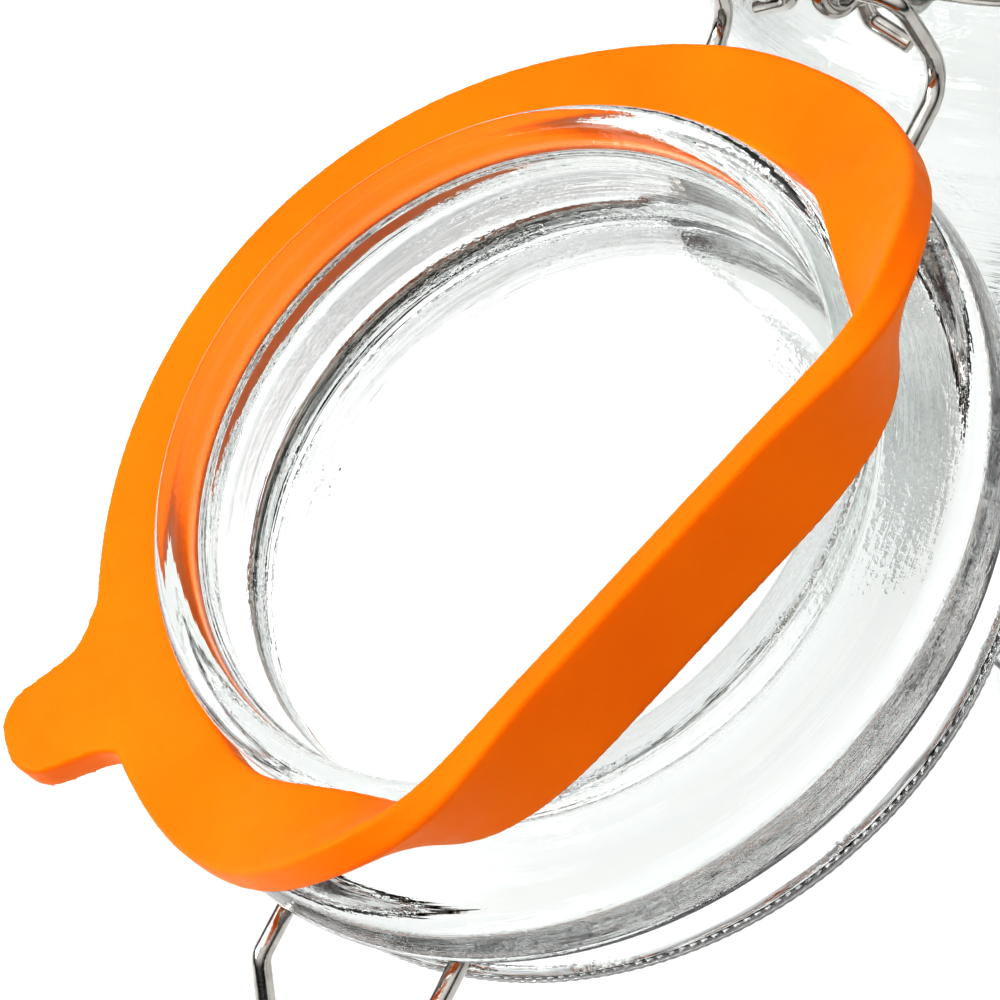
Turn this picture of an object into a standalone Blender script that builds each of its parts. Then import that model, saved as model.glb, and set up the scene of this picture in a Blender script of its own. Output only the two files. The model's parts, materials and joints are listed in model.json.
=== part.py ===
"""Bail clamp jar: a glass preserving jar with a glass lid, a rubber seal and a wire clamp.

Frame: metres, +Z up, origin at the centre of the jar's base on the surface it stands on.
The hinge is at the rear (+Y), the latch at the front (-Y).  Rest pose: the lid is swung
right back on its hinge, underside up, with the seal half fitted; the latch hangs down.
"""
import math

import bmesh
import bpy
from mathutils import Vector

MM = 0.001
OBJECT_NAME = "bail_clamp_jar"

# Jar
JAR_HEIGHT = 150 * MM
BODY_R = 59 * MM
BODY_WALL = 4.5 * MM
FLOOR_THICK = 6.5 * MM
FINISH_R = 51 * MM
NECK_R = 47.6 * MM
MOUTH_R = 42.8 * MM

# Lid, measured along its own axis from the plane of the plug's rim
PLUG_R = 42 * MM
PLUG_WAIST_R = 39.8 * MM
PLUG_BORE_R = 37.4 * MM
SEAT_H = 8.6 * MM
LIP_R = 52.5 * MM
GROOVE_R = 45.9 * MM
RING_H = 21.5 * MM
TOP_R = 50.2 * MM
LID_TOP_H = 29 * MM
RECESS_H = 24.2 * MM
SEAT_ABOVE_RIM = 3.8 * MM

# Seal
SEAL_OUTER_R = 50.0 * MM
SEAL_WIDTH = 9.8 * MM
SEAL_THICK = 4.0 * MM
SEAL_FLAT_DIR = math.radians(71.25)
FREE_WIDTH = 11.45 * MM
STRETCH_END = math.radians(49)
STRETCH_FADE = math.radians(32)
FREE_DIST = 34.3 * MM
FREE_LIFT = 6.5 * MM
FREE_ROLL = math.radians(113)
FREE_SHARPNESS = 12.4
LIFT_START = math.radians(79.3)
LIFT_SPAN = math.radians(48)
ROLL_START = math.radians(100)
ROLL_SPAN = math.radians(55.8)
BULGE = 3.16 * MM
BULGE_AT = math.radians(93.3)
BULGE_SPREAD = math.radians(39)
TAB_DIR = math.radians(138.7)
TAB_REACH = 14.9 * MM
TAB_HALF_W = 5.0 * MM
TAB_NECK_HALF_W = 6.8 * MM
TAB_ROOT_HALF_W = 15 * MM

# Wires
WIRE_R = 1.1 * MM
EYE_R = 2 * WIRE_R + 0.4 * MM
LID_RING_R = 47.3 * MM
NECK_RING_R = NECK_R + WIRE_R + 0.35 * MM
NECK_RING_Z = JAR_HEIGHT - 12 * MM

# Hinge and latch axes, all along X
LID_RIM_Z = JAR_HEIGHT + SEAT_ABOVE_RIM - SEAT_H
LID_RING_Z = LID_RIM_Z + RING_H
HINGE_Y = 65 * MM
HINGE_Z = LID_RING_Z - 12 * MM
LID_OPEN = math.radians(194)
LEVER_Y = -64 * MM
LEVER_Z = NECK_RING_Z
LINK_DY = 1.5 * MM
LINK_DZ = -9 * MM
LINK_LATCHED = math.radians(190)

TURN_STEPS = 36
ARC_STEP = math.radians(30)
LONG_ARC_STEP = math.radians(8)
SEAL_STATIONS = 72


def rounded(corners):
    """Polyline through corners (point, fillet radius), each corner turned into an arc."""
    pts = [Vector(c[0]) for c in corners]
    out = []
    for i, (point, radius) in enumerate(corners):
        p = Vector(point)
        if radius <= 0 or i in (0, len(corners) - 1):
            out.append(p)
            continue
        a = (pts[i - 1] - p).normalized()
        b = (pts[i + 1] - p).normalized()
        turn = math.pi - a.angle(b)
        reach = radius * math.tan(turn / 2)
        start, end = p + a * reach, p + b * reach
        centre = p + (a + b).normalized() * (radius / math.cos(turn / 2))
        n = max(2, math.ceil(turn / ARC_STEP))
        u = start - centre
        v = end - centre
        for k in range(n + 1):
            t = k / n
            w = math.sin((1 - t) * turn) * u + math.sin(t * turn) * v
            out.append(centre + w / math.sin(turn))
    return out


def arc(radius, z, start, end):
    """Points of a horizontal arc round the Z axis; angles run from +X toward +Y."""
    n = max(2, math.ceil(abs(end - start) / LONG_ARC_STEP))
    turns = [start + (end - start) * k / n for k in range(n + 1)]
    return [Vector((radius * math.cos(a), radius * math.sin(a), z)) for a in turns]


def material(name, colour, roughness, metallic=0.0, transmission=0.0):
    mat = bpy.data.materials.new(name)
    mat.use_nodes = True
    shader = mat.node_tree.nodes["Principled BSDF"]
    shader.inputs["Base Color"].default_value = (*colour, 1)
    shader.inputs["Roughness"].default_value = roughness
    shader.inputs["Metallic"].default_value = metallic
    shader.inputs["Transmission Weight"].default_value = transmission
    return mat


def add(name, data, mat, parts, parent=None, location=(0, 0, 0)):
    obj = bpy.data.objects.new(name, data)
    data.materials.append(mat)
    parts.objects.link(obj)
    obj.parent = parent
    obj.location = location
    return obj


def turned(name, corners, mat, parts, parent=None, location=(0, 0, 0)):
    """A closed turned body from a profile that starts and ends on the axis."""
    profile = rounded([((r, 0, z), f) for r, z, f in corners])
    mesh = bpy.data.meshes.new(name)
    edges = [(i, i + 1) for i in range(len(profile) - 1)]
    mesh.from_pydata(profile, edges, [])
    obj = add(name, mesh, mat, parts, parent, location)
    screw = obj.modifiers.new("turn", "SCREW")
    screw.steps = screw.render_steps = TURN_STEPS
    screw.use_merge_vertices = True
    screw.merge_threshold = 0.00001
    screw.use_smooth_shade = True
    return obj


def wire(name, points, mat, parts, parent=None, location=(0, 0, 0), cyclic=False):
    curve = bpy.data.curves.new(name, "CURVE")
    curve.dimensions = "3D"
    curve.bevel_depth = WIRE_R
    curve.bevel_resolution = 2
    curve.use_fill_caps = not cyclic
    spline = curve.splines.new("POLY")
    spline.points.add(len(points) - 1)
    for point, co in zip(spline.points, points):
        point.co = (*co, 1)
    spline.use_cyclic_u = cyclic
    return add(name, curve, mat, parts, parent, location)


def mirrored(half):
    """A path from a half on +X that ends at its middle, continued back along -X."""
    return half + [Vector((-p.x, p.y, p.z)) for p in reversed(half[:-1])]


def jar_body(mat, parts):
    h = JAR_HEIGHT
    inner_r = BODY_R - BODY_WALL
    corners = [
        (0, FLOOR_THICK + 1 * MM, 0), (38 * MM, FLOOR_THICK, 30 * MM), (inner_r, FLOOR_THICK, 8 * MM),
        (inner_r, h - 29 * MM, 10 * MM), (MOUTH_R + 0.3 * MM, h - 19 * MM, 8 * MM),
        (MOUTH_R, h, 1.2 * MM), (FINISH_R, h, 1.6 * MM), (FINISH_R, h - 7 * MM, 1.2 * MM),
        (NECK_R, h - 8.5 * MM, 1.2 * MM), (NECK_R, h - 15.6 * MM, 1.5 * MM),
        (BODY_R, h - 22.5 * MM, 9 * MM), (BODY_R, 0, 7 * MM), (0, 0, 0)]
    return turned("jar_body", corners, mat, parts)


def glass_lid(mat, parts, pivot):
    corners = [
        (0, LID_TOP_H, 0), (40 * MM, LID_TOP_H - 0.8 * MM, 30 * MM),
        (TOP_R, LID_TOP_H - 1.8 * MM, 3 * MM), (TOP_R, RING_H + 2.9 * MM, 1.2 * MM),
        (GROOVE_R, RING_H + 1.5 * MM, 1.2 * MM), (GROOVE_R, RING_H - 2.2 * MM, 2.5 * MM),
        (LIP_R, SEAT_H + 7.5 * MM, 3 * MM), (LIP_R, SEAT_H, 1.8 * MM),
        (PLUG_WAIST_R, SEAT_H, 0.5 * MM), (PLUG_WAIST_R, 4.2 * MM, 1.5 * MM),
        (PLUG_R, 2.6 * MM, 1 * MM), (PLUG_R, 0, 1.5 * MM), (PLUG_BORE_R, 0, 1.5 * MM),
        (PLUG_BORE_R - 1.2 * MM, RECESS_H - 1 * MM, 7 * MM), (0, RECESS_H, 0)]
    offset = (0, -HINGE_Y, LID_RIM_Z - HINGE_Z)
    return turned("glass_lid", corners, mat, parts, pivot, offset)


def smooth(x):
    x = min(1.0, max(0.0, x))
    return x * x * (3 - 2 * x)


def seal_station(angle):
    """Section of the seal at an angle from the middle of its seated stretch.

    Returns the section's centre distance from the lid's axis, its height over the plug's
    rim plane toward the jar, how far it has rolled from flat onto its inner edge, and its
    width, which is less where it is stretched round the plug.
    """
    away = abs(angle)
    behind = math.pi - away
    seated_r = SEAL_OUTER_R - SEAL_WIDTH / 2
    radius = seated_r
    if behind < math.radians(88):
        p = FREE_SHARPNESS
        free_r = FREE_DIST / math.cos(behind)
        radius = (seated_r ** -p + free_r ** -p) ** (-1 / p)
    radius += BULGE * math.exp(-((away - BULGE_AT) / BULGE_SPREAD) ** 2)
    lift = smooth((away - LIFT_START) / LIFT_SPAN)
    roll = smooth((away - ROLL_START) / ROLL_SPAN)
    relaxed = smooth((away - STRETCH_END) / STRETCH_FADE)
    seated = SEAL_THICK / 2 - SEAT_H + 0.3 * MM
    height = seated + lift * (FREE_LIFT - seated)
    width = SEAL_WIDTH + relaxed * (FREE_WIDTH - SEAL_WIDTH)
    return radius, height, roll * FREE_ROLL, width


def seal_section(width):
    """Half sizes of the band, with eased edges, as (across, up) points."""
    ease = 0.5 * MM
    w, t = width / 2, SEAL_THICK / 2
    return [(w - ease, t), (w, t - ease), (w, ease - t), (w - ease, -t),
            (ease - w, -t), (-w, ease - t), (-w, t - ease), (ease - w, t)]


def seal_ring(bm):
    """Loft the seal's section round a closed loop."""
    sections = []
    for k in range(SEAL_STATIONS):
        angle = -math.pi + 2 * math.pi * k / SEAL_STATIONS
        radius, height, roll, width = seal_station(angle)
        bearing = SEAL_FLAT_DIR + angle
        centre = Vector((radius * math.sin(bearing), radius * math.cos(bearing), -height))
        sections.append((centre, roll, seal_section(width)))
    toward_jar = Vector((0, 0, -1))
    rings = []
    for k, (centre, roll, section) in enumerate(sections):
        along = sections[(k + 1) % SEAL_STATIONS][0] - sections[k - 1][0]
        along.z = 0
        along.normalize()
        outward = Vector((-along.y, along.x, 0))
        across = outward * math.cos(roll) + toward_jar * math.sin(roll)
        up = toward_jar * math.cos(roll) - outward * math.sin(roll)
        rings.append([bm.verts.new(centre + across * a + up * b) for a, b in section])
    n = len(rings[0])
    for k in range(SEAL_STATIONS):
        a, b = rings[k], rings[(k + 1) % SEAL_STATIONS]
        for i in range(n):
            bm.faces.new((a[i], a[(i + 1) % n], b[(i + 1) % n], b[i]))


def seal_mesh():
    bm = bmesh.new()
    seal_ring(bm)
    bmesh.ops.recalc_face_normals(bm, faces=bm.faces)
    mesh = bpy.data.meshes.new("gasket")
    bm.to_mesh(mesh)
    bm.free()
    return mesh


def tab_tool(tools, pivot, offset):
    """The pull tab's own solid, an outline in the seal's plane, before it is joined on."""
    curve = bpy.data.curves.new("tab_tool", "CURVE")
    curve.dimensions = "2D"
    curve.fill_mode = "BOTH"
    curve.extrude = SEAL_THICK / 2
    root = SEAL_OUTER_R - 3 * MM
    neck = root + 6.6 * MM
    tip = SEAL_OUTER_R + TAB_REACH
    side = [((root, TAB_ROOT_HALF_W, 0), 0), ((neck, TAB_NECK_HALF_W, 0), 6 * MM),
            ((tip, TAB_HALF_W, 0), 4.8 * MM)]
    other_side = [((x, -y, z), fillet) for (x, y, z), fillet in reversed(side)]
    outline = rounded(side + other_side)
    spline = curve.splines.new("POLY")
    spline.points.add(len(outline) - 1)
    for point, co in zip(spline.points, outline):
        point.co = (*co, 1)
    spline.use_cyclic_u = True
    guide = bpy.data.objects.new("tab_guide", curve)
    tools.objects.link(guide)
    guide.parent = pivot
    _, height, _, _ = seal_station(TAB_DIR - SEAL_FLAT_DIR)
    guide.location = Vector(offset) + Vector((0, 0, -height))
    guide.rotation_euler.z = math.pi / 2 - TAB_DIR
    bpy.context.view_layer.update()
    evaluated = guide.evaluated_get(bpy.context.evaluated_depsgraph_get())
    mesh = bpy.data.meshes.new_from_object(evaluated)
    bm = bmesh.new()
    bm.from_mesh(mesh)
    bmesh.ops.remove_doubles(bm, verts=bm.verts, dist=0.00001)
    bmesh.ops.recalc_face_normals(bm, faces=bm.faces)
    bm.to_mesh(mesh)
    bm.free()
    tool = bpy.data.objects.new("tab_tool", mesh)
    tools.objects.link(tool)
    tool.parent = pivot
    tool.location = guide.location
    tool.rotation_euler = guide.rotation_euler
    bpy.data.objects.remove(guide)
    tool.hide_render = True
    tool.display_type = "WIRE"
    return tool


def gasket(mat, parts, tools, pivot):
    offset = (0, -HINGE_Y, LID_RIM_Z - HINGE_Z)
    obj = add("gasket", seal_mesh(), mat, parts, pivot, offset)
    join = obj.modifiers.new("pull_tab", "BOOLEAN")
    join.operation = "UNION"
    join.solver = "EXACT"
    join.object = tab_tool(tools, pivot, offset)
    return obj


def lid_ring(mat, parts, pivot):
    """Ring in the lid's groove, with the hinge loop behind and the tongue in front."""
    z = LID_RING_Z
    rear_x, front_x = 14.8 * MM, 11.6 * MM
    rear_y = math.sqrt(LID_RING_R ** 2 - rear_x ** 2)
    front_y = -math.sqrt(LID_RING_R ** 2 - front_x ** 2)
    start = math.atan2(rear_y, rear_x)
    end = math.atan2(front_y, front_x)
    side = arc(LID_RING_R, z, start - 0.12, end + 0.12)
    hinge_loop = [((0, HINGE_Y, HINGE_Z), 0), ((12.6 * MM, HINGE_Y, HINGE_Z), 3 * MM),
                  ((rear_x, 63 * MM, z), 5 * MM), ((rear_x, rear_y, z), 3.2 * MM), (side[0], 0)]
    tongue = [(side[-1], 0), ((front_x, front_y, z), 3.2 * MM), ((front_x, -56.5 * MM, z), 2.5 * MM),
              ((9.5 * MM, -64.5 * MM, z + 7.2 * MM), 4 * MM), ((0, -65 * MM, z + 7.65 * MM), 0)]
    half = rounded(hinge_loop) + side[1:-1] + rounded(tongue)
    centre = Vector((0, HINGE_Y, HINGE_Z))
    path = [p - centre for p in mirrored(half)[:-1]]
    return wire("lid_ring", path, mat, parts, pivot, cyclic=True)


def eye(y, z, x_from, x_to, start, end):
    """A coil round an axis along X; angles run from -Y toward +Z."""
    n = math.ceil(abs(end - start) / ARC_STEP)
    out = []
    for k in range(n + 1):
        a = start + (end - start) * k / n
        out.append(Vector((x_from + (x_to - x_from) * k / n,
                           y - EYE_R * math.cos(a), z + EYE_R * math.sin(a))))
    return out


def neck_ring(mat, parts):
    """Wire round the neck: lever eyes in front, and two curled ends that hold the hinge loop."""
    z = NECK_RING_Z
    r = NECK_RING_R
    curl_x, tail_x = 2.3 * MM, 5.1 * MM
    curl = eye(HINGE_Y, HINGE_Z, tail_x, curl_x, math.radians(270), 0)
    tail = rounded([((10.2 * MM, HINGE_Y - 1.9 * MM, HINGE_Z - 9.4 * MM), 0),
                    ((tail_x + 0.2 * MM, HINGE_Y - 2.3 * MM, HINGE_Z - 7.2 * MM), 2 * MM),
                    ((tail_x, HINGE_Y - 2.4 * MM, HINGE_Z - 3.2 * MM), 1.4 * MM),
                    (curl[0], 0)])
    arm_x, eye_in, eye_out = curl_x, 12.4 * MM, 16.2 * MM
    rear_y = math.sqrt(r ** 2 - arm_x ** 2)
    arm = rounded([(curl[-1], 0), ((arm_x, HINGE_Y - EYE_R, HINGE_Z - 2 * MM), 3 * MM),
                   ((arm_x, rear_y + 3.5 * MM, z), 4 * MM), ((arm_x, rear_y, z), 1.5 * MM),
                   (Vector((r * math.sin(0.14), r * math.cos(0.14), z)), 0)])
    out_y = -math.sqrt(r ** 2 - eye_out ** 2)
    in_y = -math.sqrt(r ** 2 - eye_in ** 2)
    side = arc(r, z, math.pi / 2 - 0.14, math.atan2(out_y, eye_out) + 0.1)
    coil = eye(LEVER_Y, LEVER_Z, eye_out, eye_in, math.radians(-90), math.radians(450))
    to_eye = rounded([(side[-1], 0), ((eye_out, out_y, z), 2 * MM), (coil[0], 0)])
    front = rounded([(coil[-1], 0), ((eye_in, in_y, z), 2 * MM),
                     (Vector((r * math.sin(0.15), -r * math.cos(0.15), z)), 0)])
    middle = arc(r, z, math.atan2(-r * math.cos(0.15), r * math.sin(0.15)), -math.pi / 2)
    half = tail[:-1] + curl + arm[1:-1] + side + to_eye[1:-1] + coil + front[1:-1] + middle
    return wire("neck_ring", mirrored(half), mat, parts)


def latch_lever(mat, parts, pivot):
    """Handle of the clamp, in its hanging pose about its own pivot."""
    half = rounded([((10.4 * MM, 0, 0), 0), ((19.3 * MM, 0, 0), 2 * MM),
                    ((19.3 * MM, LINK_DY, LINK_DZ), 1.8 * MM), ((26.2 * MM, LINK_DY, LINK_DZ), 1.8 * MM),
                    ((25.5 * MM, LINK_DY - 0.6 * MM, -30 * MM), 20 * MM),
                    ((22 * MM, -1.5 * MM, -59 * MM), 9 * MM), ((0, -1.8 * MM, -61 * MM), 0)])
    return wire("latch_lever", mirrored(half), mat, parts, pivot)


def bail_link(mat, parts, pivot):
    """Loop that pulls the tongue down, drawn upright about its pivot on the lever."""
    eye_x, top_x = 22.7 * MM, 15.2 * MM
    reach_y = -55.6 * MM - (LEVER_Y + LINK_DY)
    reach_z = LID_RING_Z + 2.65 * MM - (LEVER_Z + LINK_DZ)
    hook = eye(0, 0, eye_x, eye_x, math.radians(430), math.radians(180))
    leg = rounded([(hook[-1], 0), ((eye_x, EYE_R, 5 * MM), 3 * MM), ((eye_x, 1.6 * MM, 14 * MM), 20 * MM),
                   ((top_x, reach_y, reach_z), 3.5 * MM), ((0, reach_y, reach_z), 0)])
    half = hook + leg[1:]
    return wire("bail_link", mirrored(half), mat, parts, pivot)


def axis_empty(name, parts, location, turn, parent=None):
    empty = bpy.data.objects.new(name, None)
    parts.objects.link(empty)
    empty.parent = parent
    empty.location = location
    empty.rotation_euler.x = turn
    return empty


def build():
    for obj in list(bpy.data.objects):
        bpy.data.objects.remove(obj)
    parts = bpy.data.collections.new(OBJECT_NAME)
    tools = bpy.data.collections.new("cutters")
    for collection in (parts, tools):
        bpy.context.scene.collection.children.link(collection)

    glass = material("clear_glass", (0.93, 0.96, 0.95), 0.03, transmission=1.0)
    rubber = material("orange_silicone", (1.0, 0.24, 0.01), 0.42)
    steel = material("bright_steel_wire", (0.72, 0.71, 0.69), 0.14, metallic=1.0)

    hinge = axis_empty("lid_hinge_axis", parts, (0, HINGE_Y, HINGE_Z), -LID_OPEN)
    lever = axis_empty("lever_axis", parts, (0, LEVER_Y, LEVER_Z), 0)
    link = axis_empty("link_axis", parts, (0, LINK_DY, LINK_DZ), LINK_LATCHED, lever)

    jar_body(glass, parts)
    neck_ring(steel, parts)
    glass_lid(glass, parts, hinge)
    lid_ring(steel, parts, hinge)
    gasket(rubber, parts, tools, hinge)
    latch_lever(steel, parts, lever)
    bail_link(steel, parts, link)


build()
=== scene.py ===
"""Looks of the bail clamp jar: clear pressed glass, orange silicone seal and bright wire clamp.

Metres, in the CAD's own frame. The lid, its wire and the seal are drawn where the lid lies when
it is closed, and then swung back about the hinge to the rest pose.
"""
import json
import math

import bmesh
import bpy
from mathutils import Matrix, Vector

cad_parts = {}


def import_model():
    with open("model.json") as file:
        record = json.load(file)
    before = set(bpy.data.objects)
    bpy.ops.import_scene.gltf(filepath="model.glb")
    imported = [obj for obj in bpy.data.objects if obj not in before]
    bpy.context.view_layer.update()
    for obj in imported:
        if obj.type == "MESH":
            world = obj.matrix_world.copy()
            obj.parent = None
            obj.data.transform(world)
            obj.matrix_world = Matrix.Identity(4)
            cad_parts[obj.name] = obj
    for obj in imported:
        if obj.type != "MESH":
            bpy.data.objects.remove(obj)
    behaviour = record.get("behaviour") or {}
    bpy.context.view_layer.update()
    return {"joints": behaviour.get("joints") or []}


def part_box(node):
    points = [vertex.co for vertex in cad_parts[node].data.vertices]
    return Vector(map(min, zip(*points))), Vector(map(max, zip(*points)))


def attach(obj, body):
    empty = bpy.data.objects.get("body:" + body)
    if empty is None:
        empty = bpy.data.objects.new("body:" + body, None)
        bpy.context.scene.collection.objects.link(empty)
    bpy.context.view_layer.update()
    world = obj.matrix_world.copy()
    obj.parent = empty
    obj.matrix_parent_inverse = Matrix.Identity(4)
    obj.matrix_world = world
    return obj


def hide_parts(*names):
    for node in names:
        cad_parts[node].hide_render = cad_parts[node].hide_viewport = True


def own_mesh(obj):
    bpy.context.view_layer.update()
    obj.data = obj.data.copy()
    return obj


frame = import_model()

MM = 0.001

# Places read from the frame
JOINTS = {joint["name"]: joint for joint in frame["joints"]}
HINGE = Vector(JOINTS["lid_hinge"]["pos_m"])
LEVER_PIN = Vector(JOINTS["lever_swing"]["pos_m"])
LINK_PIN = Vector(JOINTS["link_swing"]["pos_m"])
LID_OPEN = math.radians(JOINTS["lid_hinge"]["range_deg"][1])
LINK_LATCHED = math.radians(JOINTS["link_swing"]["range_deg"][1])
JAR_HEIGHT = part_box("jar_body")[1].z
BODY_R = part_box("jar_body")[1].x
LIP_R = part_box("glass_lid")[1].x

# Jar
BODY_WALL = 4.5 * MM
FLOOR_THICK = 6.5 * MM
FINISH_R = 51 * MM
NECK_R = 47.6 * MM
MOUTH_R = 42.8 * MM
NECK_RING_Z = LEVER_PIN.z
MOULD_SEAM = 0.14 * MM

# Lid, measured along its own axis from the plane of the plug's rim
PLUG_R = 42 * MM
PLUG_WAIST_R = 39.8 * MM
PLUG_BORE_R = 37.4 * MM
SEAT_H = 8.6 * MM
GROOVE_R = 45.9 * MM
RING_H = 21.5 * MM
TOP_R = 50.2 * MM
LID_TOP_H = 29 * MM
RECESS_H = 24.2 * MM
RING_OVER_HINGE = 12 * MM
LID_RING_Z = HINGE.z + RING_OVER_HINGE
LID_RIM_Z = LID_RING_Z - RING_H
KNURL_LOW = RING_H + 3.6 * MM
KNURL_HIGH = RING_H + 5.2 * MM
KNURL_DEEP = 0.09 * MM
KNURL_ROWS = 5

# Seal. SEAL_FLAT_DIR and TAB_DIR are bearings about the lid's axis. The stretch, lift, roll and
# bulge begin at angles from SEAL_FLAT_DIR, the middle of the seated side, and FREE_HALF_TURN is
# measured from the opposite side, where the seal runs straight.
SEAL_OUTER_R = 50.0 * MM
SEAL_WIDTH = 9.8 * MM
SEAL_THICK = 4.0 * MM
SEAL_EDGE_R = 0.55 * MM
SEAT_GAP = 0.3 * MM
SEAL_FLAT_DIR = math.radians(71.25)
FREE_WIDTH = 11.45 * MM
FREE_HALF_TURN = math.radians(88)
STRETCH_END = math.radians(49)
STRETCH_FADE = math.radians(32)
FREE_DIST = 34.3 * MM
FREE_LIFT = 6.5 * MM
FREE_ROLL = math.radians(113)
FREE_SHARPNESS = 12.4
LIFT_START = math.radians(79.3)
LIFT_SPAN = math.radians(48)
ROLL_START = math.radians(100)
ROLL_SPAN = math.radians(55.8)
BULGE = 3.16 * MM
BULGE_AT = math.radians(93.3)
BULGE_SPREAD = math.radians(39)
TAB_DIR = math.radians(138.7)
TAB_REACH = 14.9 * MM
TAB_HALF_W = 5.0 * MM
TAB_NECK_HALF_W = 6.8 * MM
TAB_ROOT_HALF_W = 15 * MM
TAB_SUNK = 3 * MM
TAB_NECK_FROM_ROOT = 6.6 * MM
TAB_NECK_FILLET = 6 * MM
TAB_TIP_FILLET = 4.8 * MM

# Wires
WIRE_R = 1.1 * MM
WIRE_END_R = 0.35 * MM
EYE_R = 2 * WIRE_R + 0.4 * MM
LID_RING_R = 47.3 * MM
NECK_RING_R = NECK_R + WIRE_R + 0.35 * MM

# Fineness
FILLET_STEP = math.radians(7)
LONG_ARC_STEP = math.radians(2)
JAR_STEPS = 256
KNURLS = 248
GLASS_SUPPORT = 0.2 * MM
JAR_SUPPORT = 0.25 * MM
SEAL_STATIONS = 420
SEAL_VOXEL = 0.38 * MM
SEAL_SMOOTHINGS = 4
WIRE_SIDES = 20
WIRE_END_STEPS = 3

# Studio. SKY lists how high a direction points and how bright the sky is there.
SKY = [(0.04, 0.9), (0.08, 0.01), (0.23, 0.01), (0.38, 0.25), (0.72, 0.95)]
SKY_STRENGTH = 1.3
BACKDROP = (0.93, 0.93, 0.93, 1)
FLOOR_RADIUS = 6
FLOOR_DROP = 0.3 * MM
LIGHT_AIM = (0, 0.05, 0.1)
CAMERA_PLACE = (-270.6 * MM, 327.3 * MM, 484.3 * MM)
CAMERA_RIGHT = (-0.7796, -0.5461, -0.3068)
CAMERA_FORWARD = (0.5669, -0.4068, -0.7164)
LENS = 162.0
SENSOR = 36.0
DISPLAY_GAMMA = 0.78

TO_REST = (Matrix.Translation(HINGE) @ Matrix.Rotation(-LID_OPEN, 4, "X")
           @ Matrix.Translation(-HINGE))


# ---------------------------------------------------------------- mesh tools

def rounded(corners, support=0.0):
    """Polyline through (point, fillet radius) corners, each corner turned into an arc.

    With support, a point is added that far outside each end of an arc, which keeps the flats
    beside it flat under smooth shading.
    """
    pts = [Vector(c[0]) for c in corners]
    out = []
    for i, (point, radius) in enumerate(corners):
        p = Vector(point)
        if radius <= 0 or i in (0, len(corners) - 1):
            out.append(p)
            continue
        a = (pts[i - 1] - p).normalized()
        b = (pts[i + 1] - p).normalized()
        turn = math.pi - a.angle(b)
        reach = radius * math.tan(turn / 2)
        start, end = p + a * reach, p + b * reach
        centre = p + (a + b).normalized() * (radius / math.cos(turn / 2))
        n = max(2, math.ceil(turn / FILLET_STEP))
        u = start - centre
        v = end - centre
        if support:
            out.append(start + a * support)
        for k in range(n + 1):
            t = k / n
            w = math.sin((1 - t) * turn) * u + math.sin(t * turn) * v
            out.append(centre + w / math.sin(turn))
        if support:
            out.append(end + b * support)
    return out


def arc(radius, z, start, end):
    """Points of a horizontal arc round the Z axis; angles run from +X toward +Y."""
    n = max(2, math.ceil(abs(end - start) / LONG_ARC_STEP))
    turns = [start + (end - start) * k / n for k in range(n + 1)]
    return [Vector((radius * math.cos(a), radius * math.sin(a), z)) for a in turns]


def smooth(x):
    x = min(1.0, max(0.0, x))
    return x * x * (3 - 2 * x)


def new_object(name, mesh, mat):
    mesh.materials.append(mat)
    mesh.shade_smooth()
    obj = bpy.data.objects.new(name, mesh)
    bpy.context.scene.collection.objects.link(obj)
    return obj


def finished_mesh(bm, name):
    mesh = bpy.data.meshes.new(name)
    bm.to_mesh(mesh)
    bm.free()
    return mesh


def add_face(bm, layer, corners, uvs):
    for loop, uv in zip(bm.faces.new(corners).loops, uvs):
        loop[layer].uv = uv


def lathe(name, profile, steps, mat, relief=None):
    """Turned body from a profile of (r, 0, z) points that starts and ends on the axis.

    relief(angle step, point) gives how much to add to a point's radius there. The UV map "turn"
    holds the part of a turn and the length along the profile.
    """
    bm = bmesh.new()
    turn_uv = bm.loops.layers.uv.new("turn")
    along = [0.0]
    for a, b in zip(profile, profile[1:]):
        along.append(along[-1] + (b - a).length)
    inner = profile[1:-1]
    first = bm.verts.new(profile[0])
    last = bm.verts.new(profile[-1])
    rings = []
    for k in range(steps):
        angle = 2 * math.pi * k / steps
        ring = []
        for p in inner:
            r = p.x + (relief(k, p) if relief else 0)
            ring.append(bm.verts.new((r * math.cos(angle), r * math.sin(angle), p.z)))
        rings.append(ring)
    for k in range(steps):
        a, b = rings[k], rings[(k + 1) % steps]
        u0, u1 = k / steps, (k + 1) / steps
        made = [((first, a[0], b[0]), ((u0, 0), (u0, along[1]), (u1, along[1]))),
                ((last, b[-1], a[-1]), ((u0, along[-1]), (u1, along[-2]), (u0, along[-2])))]
        for i in range(len(inner) - 1):
            v0, v1 = along[i + 1], along[i + 2]
            made.append(((a[i], a[i + 1], b[i + 1], b[i]),
                         ((u0, v0), (u0, v1), (u1, v1), (u1, v0))))
        for corners, uvs in made:
            add_face(bm, turn_uv, corners, uvs)
    bmesh.ops.recalc_face_normals(bm, faces=bm.faces)
    return new_object(name, finished_mesh(bm, name), mat)


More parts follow.
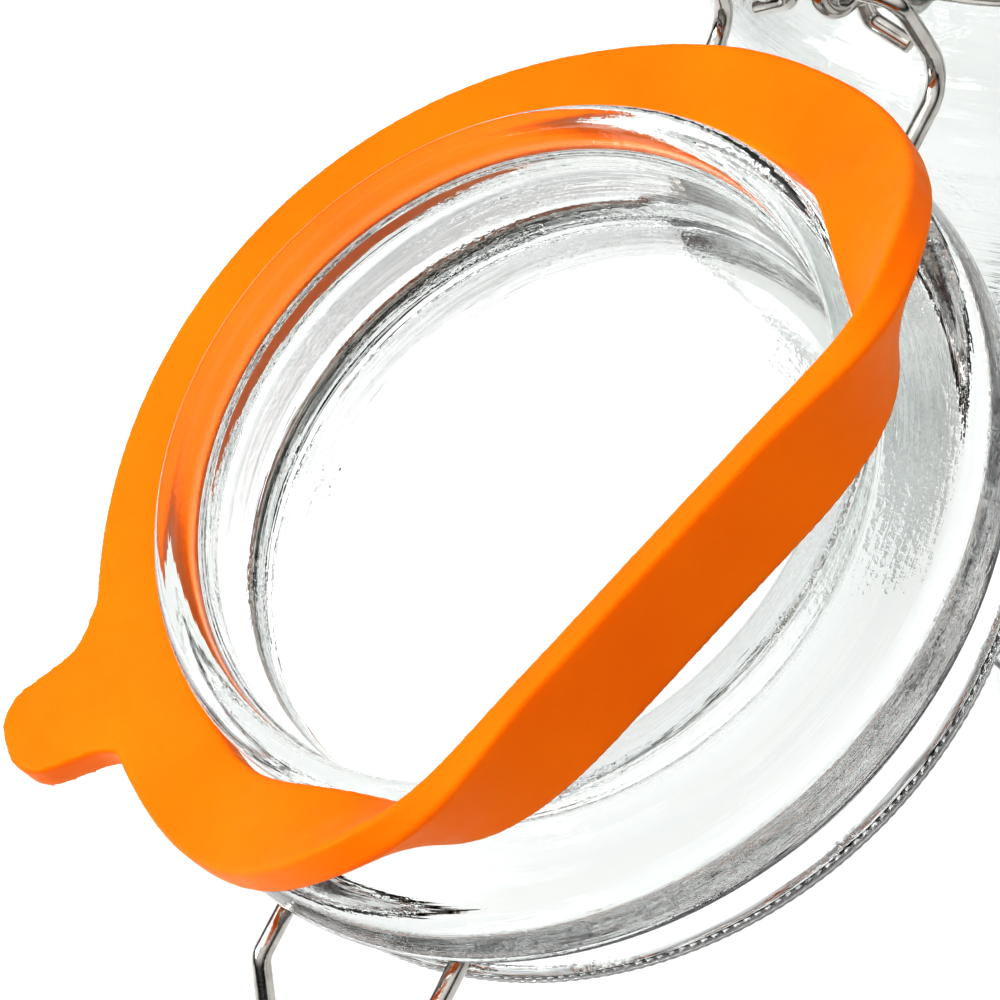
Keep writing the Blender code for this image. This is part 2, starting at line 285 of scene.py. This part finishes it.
def tube(name, points, mat, cyclic=False):
    """Round wire along points, with domed ends and a UV map that runs along it."""
    count = len(points)
    tangents = []
    for i in range(count):
        before = points[i - 1] if cyclic or i else points[0]
        after = points[(i + 1) % count] if cyclic or i < count - 1 else points[-1]
        tangents.append((after - before).normalized())
    side = tangents[0].orthogonal().normalized()
    sides = [side]
    for i in range(1, count):
        side = (side - tangents[i] * side.dot(tangents[i])).normalized()
        sides.append(side)
    twist = 0.0
    if cyclic:
        last = (side - tangents[0] * side.dot(tangents[0])).normalized()
        twist = math.atan2(last.cross(sides[0]).dot(tangents[0]), last.dot(sides[0]))
    lengths = [0.0]
    for i in range(1, count):
        lengths.append(lengths[-1] + (points[i] - points[i - 1]).length)

    bm = bmesh.new()
    along_uv = bm.loops.layers.uv.new("along")
    stations = []
    for i, p in enumerate(points):
        stations.append((p, tangents[i], sides[i], WIRE_R, twist * i / count, lengths[i]))
    if not cyclic:
        stations = dome(stations[0], -1) + stations + dome(stations[-1], 1)
    rings = []
    for centre, tangent, side, radius, turn, _ in stations:
        up = tangent.cross(side)
        ring = []
        for j in range(WIRE_SIDES):
            a = turn + 2 * math.pi * j / WIRE_SIDES
            ring.append(bm.verts.new(centre + (side * math.cos(a) + up * math.sin(a)) * radius))
        rings.append(ring)
    spans = len(rings) if cyclic else len(rings) - 1
    for i in range(spans):
        a, b = rings[i], rings[(i + 1) % len(rings)]
        v0 = stations[i][5]
        v1 = stations[i + 1][5] if i + 1 < len(stations) else v0 + (points[0] - points[-1]).length
        for j in range(WIRE_SIDES):
            beside = (j + 1) % WIRE_SIDES
            u0, u1 = j / WIRE_SIDES, (j + 1) / WIRE_SIDES
            add_face(bm, along_uv, (a[j], a[beside], b[beside], b[j]),
                     ((u0, v0), (u1, v0), (u1, v1), (u0, v1)))
    if not cyclic:
        bm.faces.new(reversed(rings[0]))
        bm.faces.new(rings[-1])
    bmesh.ops.recalc_face_normals(bm, faces=bm.faces)
    return new_object(name, finished_mesh(bm, name), mat)


def dome(station, direction):
    """Shrinking stations that carry a wire past its last point to a rounded end."""
    centre, tangent, side, radius, turn, length = station
    out = []
    for k in range(1, WIRE_END_STEPS + 1):
        a = math.pi / 2 * k / WIRE_END_STEPS
        offset = WIRE_END_R * math.sin(a)
        r = radius - WIRE_END_R * (1 - math.cos(a))
        out.append((centre + tangent * direction * offset, tangent, side, r, turn, length))
    return out[::-1] if direction < 0 else out


def mirrored(half):
    """A path from a half on +X that ends at its middle, continued back along -X."""
    return half + [Vector((-p.x, p.y, p.z)) for p in reversed(half[:-1])]


def eye(y, z, x_from, x_to, start, end):
    """A coil round an axis along X; angles run from -Y toward +Z."""
    n = math.ceil(abs(end - start) / FILLET_STEP)
    out = []
    for k in range(n + 1):
        a = start + (end - start) * k / n
        out.append(Vector((x_from + (x_to - x_from) * k / n,
                           y - EYE_R * math.cos(a), z + EYE_R * math.sin(a))))
    return out


# ---------------------------------------------------------------- materials

class Nodes:
    """Short hand for building a material's node tree."""

    def __init__(self, name):
        self.mat = bpy.data.materials.new(name)
        self.mat.use_nodes = True
        self.tree = self.mat.node_tree
        self.shader = self.tree.nodes["Principled BSDF"]
        self.output = self.tree.nodes["Material Output"]

    def add(self, kind, **settings):
        """New node; a setting that starts with in_ is the value of an input."""
        node = self.tree.nodes.new(kind)
        for key, value in settings.items():
            if key.startswith("in_"):
                node.inputs[key[3:].replace("_", " ")].default_value = value
            else:
                setattr(node, key, value)
        return node

    def link(self, source, target):
        self.tree.links.new(source, target)

    def noise(self, coords, scale, detail=3.0, roughness=0.5):
        node = self.add("ShaderNodeTexNoise", in_Scale=scale, in_Detail=detail,
                        in_Roughness=roughness)
        self.link(coords, node.inputs["Vector"])
        return node.outputs["Fac"]

    def ramp(self, value, low, high, start=0.0, end=1.0):
        """value from start..end mapped onto low..high."""
        node = self.add("ShaderNodeMapRange")
        self.link(value, node.inputs["Value"])
        node.inputs["From Min"].default_value = start
        node.inputs["From Max"].default_value = end
        node.inputs["To Min"].default_value = low
        node.inputs["To Max"].default_value = high
        return node.outputs["Result"]

    def bump(self, height, distance, normal=None):
        node = self.add("ShaderNodeBump", in_Distance=distance)
        self.link(height, node.inputs["Height"])
        if normal:
            self.link(normal, node.inputs["Normal"])
        return node.outputs["Normal"]

    def colours(self, value, stops):
        node = self.add("ShaderNodeValToRGB")
        self.link(value, node.inputs["Fac"])
        elements = node.color_ramp.elements
        while len(elements) < len(stops):
            elements.new(0.5)
        for element, (place, colour) in zip(elements, stops):
            element.position = place
            element.color = (*colour, 1)
        return node.outputs["Color"]

    def object_coords(self):
        return self.add("ShaderNodeTexCoord").outputs["Object"]

    def calc(self, operation, a, b=0.0):
        """Math node; a and b are sockets or numbers."""
        node = self.add("ShaderNodeMath", operation=operation)
        for value, socket in ((a, node.inputs[0]), (b, node.inputs[1])):
            if isinstance(value, (int, float)):
                socket.default_value = value
            else:
                self.link(value, socket)
        return node.outputs["Value"]

    def turned_coords(self, round_it, across):
        """Coordinates that change slowly round a turned piece and fast along its profile."""
        uv = self.add("ShaderNodeUVMap", uv_map="turn")
        split = self.add("ShaderNodeSeparateXYZ")
        self.link(uv.outputs["UV"], split.inputs["Vector"])
        angle = self.calc("MULTIPLY", split.outputs["X"], 2 * math.pi)
        join = self.add("ShaderNodeCombineXYZ")
        for operation, axis in (("COSINE", "X"), ("SINE", "Y")):
            part = self.calc("MULTIPLY", self.calc(operation, angle), round_it)
            self.link(part, join.inputs[axis])
        self.link(self.calc("MULTIPLY", split.outputs["Y"], across), join.inputs["Z"])
        return join.outputs["Vector"]


def glass_material(name, tint, ripple, streak, pit):
    """Clear pressed glass: slow ripples, lines drawn round by the mould, patches of fine pits.

    ripple, streak and pit are how deep each of the three is.
    """
    n = Nodes(name)
    coords = n.object_coords()
    s = n.shader
    s.inputs["Transmission Weight"].default_value = 1
    s.inputs["IOR"].default_value = 1.5
    s.inputs["Specular Tint"].default_value = (0.35, 0.35, 0.35, 1)
    slow = n.bump(n.noise(coords, scale=70, detail=2), ripple)
    turned = n.turned_coords(round_it=1.0, across=850)
    lines = n.noise(turned, scale=1.0, detail=3, roughness=0.55)
    drawn = n.bump(lines, streak, slow)
    patches = n.ramp(n.noise(coords, scale=75, detail=3), low=0.0, high=1.0, start=0.46, end=0.62)
    pits = n.calc("MULTIPLY", n.noise(coords, scale=1300, detail=2), patches)
    n.link(n.bump(pits, pit, drawn), s.inputs["Normal"])
    wear = n.ramp(n.noise(coords, scale=160, detail=4), low=0.0, high=0.035, start=0.45, end=0.75)
    n.link(wear, s.inputs["Roughness"])
    darker = tuple(0.985 * c for c in tint)
    shade = n.colours(n.noise(coords, scale=25, detail=1), [(0.3, tint), (0.7, darker)])
    n.link(shade, s.inputs["Base Color"])
    # Shadow rays pass the glass, so that it throws only a faint shadow.
    clear = n.add("ShaderNodeBsdfTransparent", in_Color=(0.97, 0.98, 0.975, 1))
    path = n.add("ShaderNodeLightPath")
    mix = n.add("ShaderNodeMixShader")
    n.link(path.outputs["Is Shadow Ray"], mix.inputs["Fac"])
    n.link(s.outputs["BSDF"], mix.inputs[1])
    n.link(clear.outputs["BSDF"], mix.inputs[2])
    n.link(mix.outputs["Shader"], n.output.inputs["Surface"])
    # Thick glass greys what is seen along it.
    body = n.add("ShaderNodeVolumeAbsorption", in_Color=(0.70, 0.73, 0.72, 1), in_Density=26.0)
    n.link(body.outputs["Volume"], n.output.inputs["Volume"])
    return n.mat


def silicone_material(name):
    """Moulded orange silicone: slightly cloudy colour, satin skin, fine grain."""
    n = Nodes(name)
    coords = n.object_coords()
    s = n.shader
    cloud = n.noise(coords, scale=45, detail=4)
    colour = n.colours(cloud, [(0.25, (0.93, 0.172, 0.0)), (0.55, (0.97, 0.205, 0.0)),
                               (0.8, (1.0, 0.232, 0.0))])
    n.link(colour, s.inputs["Base Color"])
    satin = n.ramp(n.noise(coords, scale=320, detail=5), low=0.40, high=0.58, start=0.3, end=0.7)
    n.link(satin, s.inputs["Roughness"])
    s.inputs["Subsurface Weight"].default_value = 0.2
    s.inputs["Subsurface Radius"].default_value = (1.0, 0.3, 0.05)
    s.inputs["Subsurface Scale"].default_value = 0.0016
    s.inputs["Specular IOR Level"].default_value = 0.4
    s.inputs["Specular Tint"].default_value = (1.0, 0.45, 0.05, 1)
    skin = n.bump(n.noise(coords, scale=130, detail=3), distance=0.00006)
    grain = n.bump(n.noise(coords, scale=2600, detail=3), distance=0.00002, normal=skin)
    n.link(grain, s.inputs["Normal"])
    return n.mat


def steel_material(name):
    """Bright drawn steel: streaks along the wire, dull rubbed patches, tiny pits."""
    n = Nodes(name)
    uv = n.add("ShaderNodeUVMap", uv_map="along")
    stretch = n.add("ShaderNodeMapping", in_Scale=(40.0, 120.0, 1.0))
    n.link(uv.outputs["UV"], stretch.inputs["Vector"])
    coords = n.object_coords()
    s = n.shader
    s.inputs["Metallic"].default_value = 1
    streaks = n.noise(stretch.outputs["Vector"], scale=1.0, detail=4)
    patches = n.noise(coords, scale=420, detail=4)
    colour = n.colours(patches, [(0.3, (0.44, 0.42, 0.39)), (0.6, (0.60, 0.58, 0.55))])
    n.link(colour, s.inputs["Base Color"])
    rub = n.calc("MULTIPLY", streaks, patches)
    n.link(n.ramp(rub, low=0.05, high=0.2, start=0.12, end=0.42), s.inputs["Roughness"])
    drawn = n.bump(streaks, distance=0.00002)
    pits = n.bump(n.noise(coords, scale=3000, detail=2), distance=0.00001, normal=drawn)
    n.link(pits, s.inputs["Normal"])
    return n.mat


def floor_material(name):
    """Matt white studio sweep."""
    n = Nodes(name)
    coords = n.object_coords()
    shade = n.colours(n.noise(coords, scale=3, detail=3),
                      [(0.3, (0.79, 0.79, 0.79)), (0.7, (0.81, 0.81, 0.81))])
    n.link(shade, n.shader.inputs["Base Color"])
    matt = n.ramp(n.noise(coords, scale=600, detail=2), low=0.6, high=0.75)
    n.link(matt, n.shader.inputs["Roughness"])
    n.shader.inputs["Specular IOR Level"].default_value = 0.1
    return n.mat


# ---------------------------------------------------------------- pieces

def jar_glass(mat):
    """Jar with a shoulder, wire groove, seal finish, pushed-up base and two mould seams.

    corners are (radius, height, fillet), from the middle of the floor inside, over the mouth and
    down to the middle of the base.
    """
    h = JAR_HEIGHT
    inner_r = BODY_R - BODY_WALL
    corners = [
        (0, FLOOR_THICK + 1 * MM, 0), (38 * MM, FLOOR_THICK, 30 * MM),
        (inner_r, FLOOR_THICK, 8 * MM),
        (inner_r, h - 29 * MM, 10 * MM), (MOUTH_R + 0.3 * MM, h - 19 * MM, 8 * MM),
        (MOUTH_R, h, 1.2 * MM), (FINISH_R, h, 1.6 * MM), (FINISH_R, h - 7 * MM, 1.2 * MM),
        (NECK_R, h - 8.5 * MM, 1.2 * MM), (NECK_R, h - 15.6 * MM, 1.5 * MM),
        (BODY_R, h - 22.5 * MM, 9 * MM), (BODY_R, 0, 7 * MM), (47 * MM, 0, 2 * MM),
        (44.5 * MM, 1.4 * MM, 2 * MM), (0, 2.4 * MM, 0)]
    profile = rounded([((r, 0, z), f) for r, z, f in corners], JAR_SUPPORT)

    def relief(step, p):
        at_seam = step % (JAR_STEPS // 2) == JAR_STEPS // 4
        outside = NECK_R - 1 * MM < p.x < BODY_R - MOULD_SEAM and 12 * MM < p.z < h - 10 * MM
        return MOULD_SEAM if at_seam and outside else 0

    obj = lathe("jar_glass", profile, JAR_STEPS, mat, relief)
    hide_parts("jar_body")
    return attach(obj, "jar")


def lid_glass(mat):
    """Lid with a hollow plug, seal seat, lip, wire groove and a knurled top edge.

    corners are (radius, distance from the plug's rim, fillet), from the middle of the top, round
    the lip and the plug to the middle of the hollow. The top and the hollow are slightly dished
    and the lip leans in, because faces that are quite parallel trap light inside the glass.
    """
    corners = [
        (0, LID_TOP_H - 1.1 * MM, 0), (44 * MM, LID_TOP_H - 0.1 * MM, 30 * MM),
        (TOP_R, LID_TOP_H - 1.8 * MM, 3 * MM), (TOP_R, RING_H + 2.9 * MM, 1.2 * MM),
        (GROOVE_R, RING_H + 1.5 * MM, 1.2 * MM), (GROOVE_R, RING_H - 2.2 * MM, 2.5 * MM),
        (LIP_R - 0.1 * MM, SEAT_H + 7.5 * MM, 2.0 * MM), (LIP_R - 1.5 * MM, SEAT_H, 2.6 * MM),
        (PLUG_WAIST_R, SEAT_H, 0.5 * MM), (PLUG_WAIST_R, 4.2 * MM, 1.5 * MM),
        (PLUG_R, 2.6 * MM, 1 * MM), (PLUG_R, 0, 1.5 * MM),
        (PLUG_BORE_R + 0.3 * MM, 0, 1.6 * MM), (PLUG_BORE_R + 0.3 * MM, 3.4 * MM, 0.6 * MM),
        (PLUG_BORE_R - 0.2 * MM, 3.9 * MM, 0.6 * MM),
        (PLUG_BORE_R - 1.2 * MM, RECESS_H - 2.2 * MM, 6 * MM), (0, RECESS_H + 0.5 * MM, 0)]
    profile = rounded([((r, 0, z), f) for r, z, f in corners], GLASS_SUPPORT)
    top = max(i for i, p in enumerate(profile) if p.z > KNURL_HIGH and p.x > TOP_R - 3 * MM)
    rows = [Vector((TOP_R, 0, KNURL_HIGH - (KNURL_HIGH - KNURL_LOW) * k / (KNURL_ROWS - 1)))
            for k in range(KNURL_ROWS)]
    profile[top + 1:top + 1] = rows

    def relief(step, p):
        cut = step % 2 and KNURL_LOW < p.z < KNURL_HIGH and p.x > TOP_R - 0.1 * MM
        return -KNURL_DEEP if cut else 0

    obj = lathe("lid_glass", profile, 2 * KNURLS, mat, relief)
    obj.data.transform(TO_REST @ Matrix.Translation((0, 0, LID_RIM_Z)))
    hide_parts("glass_lid")
    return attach(obj, "lid")


def seal_station(angle):
    """Section of the seal at an angle from the middle of its seated stretch.

    Gives its centre's distance from the lid's axis and height over the plane of the plug's rim,
    its roll and its width.
    """
    away = abs(angle)
    behind = math.pi - away
    seated_r = SEAL_OUTER_R - SEAL_WIDTH / 2
    radius = seated_r
    if behind < FREE_HALF_TURN:
        p = FREE_SHARPNESS
        free_r = FREE_DIST / math.cos(behind)
        radius = (seated_r ** -p + free_r ** -p) ** (-1 / p)
    radius += BULGE * math.exp(-((away - BULGE_AT) / BULGE_SPREAD) ** 2)
    lift = smooth((away - LIFT_START) / LIFT_SPAN)
    roll = smooth((away - ROLL_START) / ROLL_SPAN)
    relaxed = smooth((away - STRETCH_END) / STRETCH_FADE)
    seated = SEAL_THICK / 2 - SEAT_H + SEAT_GAP
    height = seated + lift * (FREE_LIFT - seated)
    width = SEAL_WIDTH + relaxed * (FREE_WIDTH - SEAL_WIDTH)
    return radius, height, roll * FREE_ROLL, width


def seal_section(width):
    """Outline of the band, with rounded edges, as (across, up) points."""
    w, t, edge = width / 2, SEAL_THICK / 2, SEAL_EDGE_R
    corners = [((0, t, 0), 0), ((w, t, 0), edge), ((w, -t, 0), edge),
               ((-w, -t, 0), edge), ((-w, t, 0), edge), ((0, t, 0), 0)]
    return [(p.x, p.y) for p in rounded(corners)[:-1]]


def seal_band(bm):
    """Loft the seal's section round a closed loop."""
    sections = []
    for k in range(SEAL_STATIONS):
        angle = -math.pi + 2 * math.pi * k / SEAL_STATIONS
        radius, height, roll, width = seal_station(angle)
        bearing = SEAL_FLAT_DIR + angle
        centre = Vector((radius * math.sin(bearing), radius * math.cos(bearing), -height))
        sections.append((centre, roll, seal_section(width)))
    toward_jar = Vector((0, 0, -1))
    rings = []
    for k, (centre, roll, section) in enumerate(sections):
        along = sections[(k + 1) % SEAL_STATIONS][0] - sections[k - 1][0]
        along.z = 0
        along.normalize()
        outward = Vector((-along.y, along.x, 0))
        across = outward * math.cos(roll) + toward_jar * math.sin(roll)
        up = toward_jar * math.cos(roll) - outward * math.sin(roll)
        rings.append([bm.verts.new(centre + across * a + up * b) for a, b in section])
    n = len(rings[0])
    for k in range(SEAL_STATIONS):
        a, b = rings[k], rings[(k + 1) % SEAL_STATIONS]
        for i in range(n):
            bm.faces.new((a[i], a[(i + 1) % n], b[(i + 1) % n], b[i]))


def seal_tab(bm):
    """The pull tab: an outline in the seal's plane, extruded to the seal's thickness."""
    root = SEAL_OUTER_R - TAB_SUNK
    neck = root + TAB_NECK_FROM_ROOT
    tip = SEAL_OUTER_R + TAB_REACH
    side = [((root, TAB_ROOT_HALF_W, 0), 0), ((neck, TAB_NECK_HALF_W, 0), TAB_NECK_FILLET),
            ((tip, TAB_HALF_W, 0), TAB_TIP_FILLET)]
    other_side = [((x, -y, z), fillet) for (x, y, z), fillet in reversed(side)]
    _, height, _, _ = seal_station(TAB_DIR - SEAL_FLAT_DIR)
    place = Matrix.Translation((0, 0, -height)) @ Matrix.Rotation(math.pi / 2 - TAB_DIR, 4, "Z")
    outline = rounded(side + other_side)
    layers = []
    for z in (-SEAL_THICK / 2, SEAL_THICK / 2):
        layers.append([bm.verts.new(place @ (p + Vector((0, 0, z)))) for p in outline])
    n = len(outline)
    bm.faces.new(reversed(layers[0]))
    bm.faces.new(layers[1])
    for i in range(n):
        j = (i + 1) % n
        bm.faces.new((layers[0][i], layers[0][j], layers[1][j], layers[1][i]))


def seal(mat):
    """Seal and tab fused into one skin, then eased so that it reads as one moulding."""
    bm = bmesh.new()
    seal_band(bm)
    seal_tab(bm)
    bmesh.ops.recalc_face_normals(bm, faces=bm.faces)
    mesh = finished_mesh(bm, "seal_rough")
    mesh.transform(TO_REST @ Matrix.Translation((0, 0, LID_RIM_Z)))
    rough = bpy.data.objects.new("seal_rough", mesh)
    bpy.context.scene.collection.objects.link(rough)
    remesh = rough.modifiers.new("fuse", "REMESH")
    remesh.mode = "VOXEL"
    remesh.voxel_size = SEAL_VOXEL
    ease = rough.modifiers.new("ease", "SMOOTH")
    ease.factor = 0.5
    ease.iterations = SEAL_SMOOTHINGS
    bpy.context.view_layer.update()
    evaluated = rough.evaluated_get(bpy.context.evaluated_depsgraph_get())
    skin = bpy.data.meshes.new_from_object(evaluated)
    skin.name = "seal"
    bpy.data.objects.remove(rough)
    obj = new_object("seal", skin, mat)
    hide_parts("gasket")
    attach(obj, "lid")
    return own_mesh(obj)


def lid_wire(mat):
    """Ring in the lid's groove, with the hinge loop behind and the tongue in front."""
    z = LID_RING_Z
    rear_x, front_x = 14.8 * MM, 11.6 * MM
    rear_y = math.sqrt(LID_RING_R ** 2 - rear_x ** 2)
    front_y = -math.sqrt(LID_RING_R ** 2 - front_x ** 2)
    trim = 0.12  # radians of ring left free for the fillet at each of its ends
    side = arc(LID_RING_R, z, math.atan2(rear_y, rear_x) - trim,
               math.atan2(front_y, front_x) + trim)
    hinge_loop = [((0, HINGE.y, HINGE.z), 0), ((12.6 * MM, HINGE.y, HINGE.z), 3 * MM),
                  ((rear_x, 63 * MM, z), 5 * MM), ((rear_x, rear_y, z), 3.2 * MM), (side[0], 0)]
    tongue = [(side[-1], 0), ((front_x, front_y, z), 3.2 * MM),
              ((front_x, -56.5 * MM, z), 2.5 * MM),
              ((9.5 * MM, -64.5 * MM, z + 7.2 * MM), 4 * MM), ((0, -65 * MM, z + 7.65 * MM), 0)]
    half = rounded(hinge_loop) + side[1:-1] + rounded(tongue)
    path = [TO_REST @ p for p in mirrored(half)[:-1]]
    obj = tube("lid_wire", path, mat, cyclic=True)
    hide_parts("lid_ring")
    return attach(obj, "lid")


def neck_wire(mat):
    """Wire round the neck: lever eyes in front, and two curled ends that hold the hinge loop."""
    z, r = NECK_RING_Z, NECK_RING_R
    rear_trim, side_trim, front_trim = 0.14, 0.1, 0.15  # radians of ring left free for fillets
    curl_x, tail_x = 2.3 * MM, 5.1 * MM
    curl = eye(HINGE.y, HINGE.z, tail_x, curl_x, math.radians(270), 0)
    tail = rounded([((10.2 * MM, HINGE.y - 1.9 * MM, HINGE.z - 9.4 * MM), 0),
                    ((tail_x + 0.2 * MM, HINGE.y - 2.3 * MM, HINGE.z - 7.2 * MM), 2 * MM),
                    ((tail_x, HINGE.y - 2.4 * MM, HINGE.z - 3.2 * MM), 1.4 * MM),
                    (curl[0], 0)])
    eye_in, eye_out = 12.4 * MM, 16.2 * MM
    rear_y = math.sqrt(r ** 2 - curl_x ** 2)
    arm = rounded([(curl[-1], 0), ((curl_x, HINGE.y - EYE_R, HINGE.z - 2 * MM), 3 * MM),
                   ((curl_x, rear_y + 3.5 * MM, z), 4 * MM), ((curl_x, rear_y, z), 1.5 * MM),
                   (Vector((r * math.sin(rear_trim), r * math.cos(rear_trim), z)), 0)])
    out_y = -math.sqrt(r ** 2 - eye_out ** 2)
    in_y = -math.sqrt(r ** 2 - eye_in ** 2)
    side = arc(r, z, math.pi / 2 - rear_trim, math.atan2(out_y, eye_out) + side_trim)
    coil = eye(LEVER_PIN.y, LEVER_PIN.z, eye_out, eye_in, math.radians(-90), math.radians(450))
    to_eye = rounded([(side[-1], 0), ((eye_out, out_y, z), 2 * MM), (coil[0], 0)])
    front = rounded([(coil[-1], 0), ((eye_in, in_y, z), 2 * MM),
                     (Vector((r * math.sin(front_trim), -r * math.cos(front_trim), z)), 0)])
    middle_from = math.atan2(-r * math.cos(front_trim), r * math.sin(front_trim))
    middle = arc(r, z, middle_from, -math.pi / 2)
    half = tail[:-1] + curl + arm[1:-1] + side + to_eye[1:-1] + coil + front[1:-1] + middle
    obj = tube("neck_wire", mirrored(half), mat)
    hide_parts("neck_ring")
    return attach(obj, "jar")


def lever_wire(mat):
    """Handle of the clamp, hanging from the neck wire's eyes."""
    link = LINK_PIN - LEVER_PIN
    pin_in, pin_mid, pin_out = 10.4 * MM, 19.3 * MM, 26.2 * MM
    half = rounded([((pin_in, 0, 0), 0), ((pin_mid, 0, 0), 2 * MM),
                    ((pin_mid, link.y, link.z), 1.8 * MM), ((pin_out, link.y, link.z), 1.8 * MM),
                    ((25.5 * MM, link.y - 0.6 * MM, -30 * MM), 20 * MM),
                    ((22 * MM, -1.5 * MM, -59 * MM), 9 * MM), ((0, -1.8 * MM, -61 * MM), 0)])
    obj = tube("lever_wire", [LEVER_PIN + p for p in mirrored(half)], mat)
    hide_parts("latch_lever")
    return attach(obj, "lever")


def link_wire(mat):
    """Loop that pulls the tongue down, drawn upright about its pivot and swung to hang."""
    eye_x, top_x = 22.7 * MM, 15.2 * MM
    reach_y = -55.6 * MM - LINK_PIN.y
    reach_z = LID_RING_Z + 2.65 * MM - LINK_PIN.z
    hook = eye(0, 0, eye_x, eye_x, math.radians(430), math.radians(180))
    leg = rounded([(hook[-1], 0), ((eye_x, EYE_R, 5 * MM), 3 * MM),
                   ((eye_x, 1.6 * MM, 14 * MM), 20 * MM),
                   ((top_x, reach_y, reach_z), 3.5 * MM), ((0, reach_y, reach_z), 0)])
    hang = Matrix.Translation(LINK_PIN) @ Matrix.Rotation(LINK_LATCHED, 4, "X")
    obj = tube("link_wire", [hang @ p for p in mirrored(hook + leg[1:])], mat)
    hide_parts("bail_link")
    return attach(obj, "link")


# ---------------------------------------------------------------- studio

def floor(mat):
    bm = bmesh.new()
    bmesh.ops.create_circle(bm, cap_ends=True, segments=96, radius=FLOOR_RADIUS)
    obj = new_object("floor", finished_mesh(bm, "floor"), mat)
    obj.location.z = -FLOOR_DROP


def softbox(name, place, size, power):
    light = bpy.data.lights.new(name, "AREA")
    light.shape = "RECTANGLE"
    light.size, light.size_y = size
    light.energy = power
    obj = bpy.data.objects.new(name, light)
    obj.location = place
    obj.rotation_mode = "QUATERNION"
    obj.rotation_quaternion = (Vector(LIGHT_AIM) - Vector(place)).to_track_quat("-Z", "Y")
    bpy.context.scene.collection.objects.link(obj)


def world():
    """Sky that is bright overhead and at the horizon, with a dark band between.

    The band is what gives glass and steel their dark edges. What the camera itself sees past the
    floor is a plain pale grey.
    """
    scene_world = bpy.data.worlds.new("studio")
    bpy.context.scene.world = scene_world
    scene_world.use_nodes = True
    tree = scene_world.node_tree
    background = tree.nodes["Background"]
    coords = tree.nodes.new("ShaderNodeTexCoord")
    split = tree.nodes.new("ShaderNodeSeparateXYZ")
    ramp = tree.nodes.new("ShaderNodeValToRGB")
    path = tree.nodes.new("ShaderNodeLightPath")
    mix = tree.nodes.new("ShaderNodeMix")
    mix.data_type = "RGBA"
    tree.links.new(coords.outputs["Generated"], split.inputs["Vector"])
    tree.links.new(split.outputs["Z"], ramp.inputs["Fac"])
    tree.links.new(path.outputs["Is Camera Ray"], mix.inputs["Factor"])
    tree.links.new(ramp.outputs["Color"], mix.inputs["A"])
    mix.inputs["B"].default_value = BACKDROP
    tree.links.new(mix.outputs["Result"], background.inputs["Color"])
    stops = ramp.color_ramp.elements
    while len(stops) < len(SKY):
        stops.new(0.5)
    for stop, (height, grey) in zip(stops, SKY):
        stop.position = height
        stop.color = (grey, grey, grey, 1)
    background.inputs["Strength"].default_value = SKY_STRENGTH


def camera():
    """Looks down from behind the jar's left shoulder at the open lid's underside."""
    data = bpy.data.cameras.new("camera")
    data.lens = LENS
    data.sensor_width = SENSOR
    data.clip_start, data.clip_end = 0.02, 50
    right = Vector(CAMERA_RIGHT)
    forward = Vector(CAMERA_FORWARD)
    up = right.cross(forward).normalized()
    right = forward.cross(up).normalized()
    turn = Matrix((right, up, -forward.normalized())).transposed()
    obj = bpy.data.objects.new("camera", data)
    obj.matrix_world = Matrix.Translation(CAMERA_PLACE) @ turn.to_4x4()
    bpy.context.scene.collection.objects.link(obj)
    bpy.context.scene.camera = obj


glass_jar = glass_material("jar_pressed_glass", tint=(0.945, 0.955, 0.95), ripple=0.00022,
                           streak=0.00006, pit=0.00006)
glass_lid = glass_material("lid_pressed_glass", tint=(0.985, 0.995, 0.99), ripple=0.00010,
                           streak=0.00006, pit=0.00006)
silicone = silicone_material("orange_silicone_skin")
steel = steel_material("bright_drawn_steel")

jar_glass(glass_jar)
lid_glass(glass_lid)
seal(silicone)
lid_wire(steel)
neck_wire(steel)
lever_wire(steel)
link_wire(steel)

floor(floor_material("white_sweep"))
world()
softbox("key", place=(0.55, 0.55, 0.75), size=(0.5, 0.5), power=7)
softbox("overhead", place=(0.2, 0.0, 1.3), size=(0.9, 0.9), power=3)
camera()
bpy.context.scene.view_settings.view_transform = "Standard"
bpy.context.scene.view_settings.gamma = DISPLAY_GAMMA
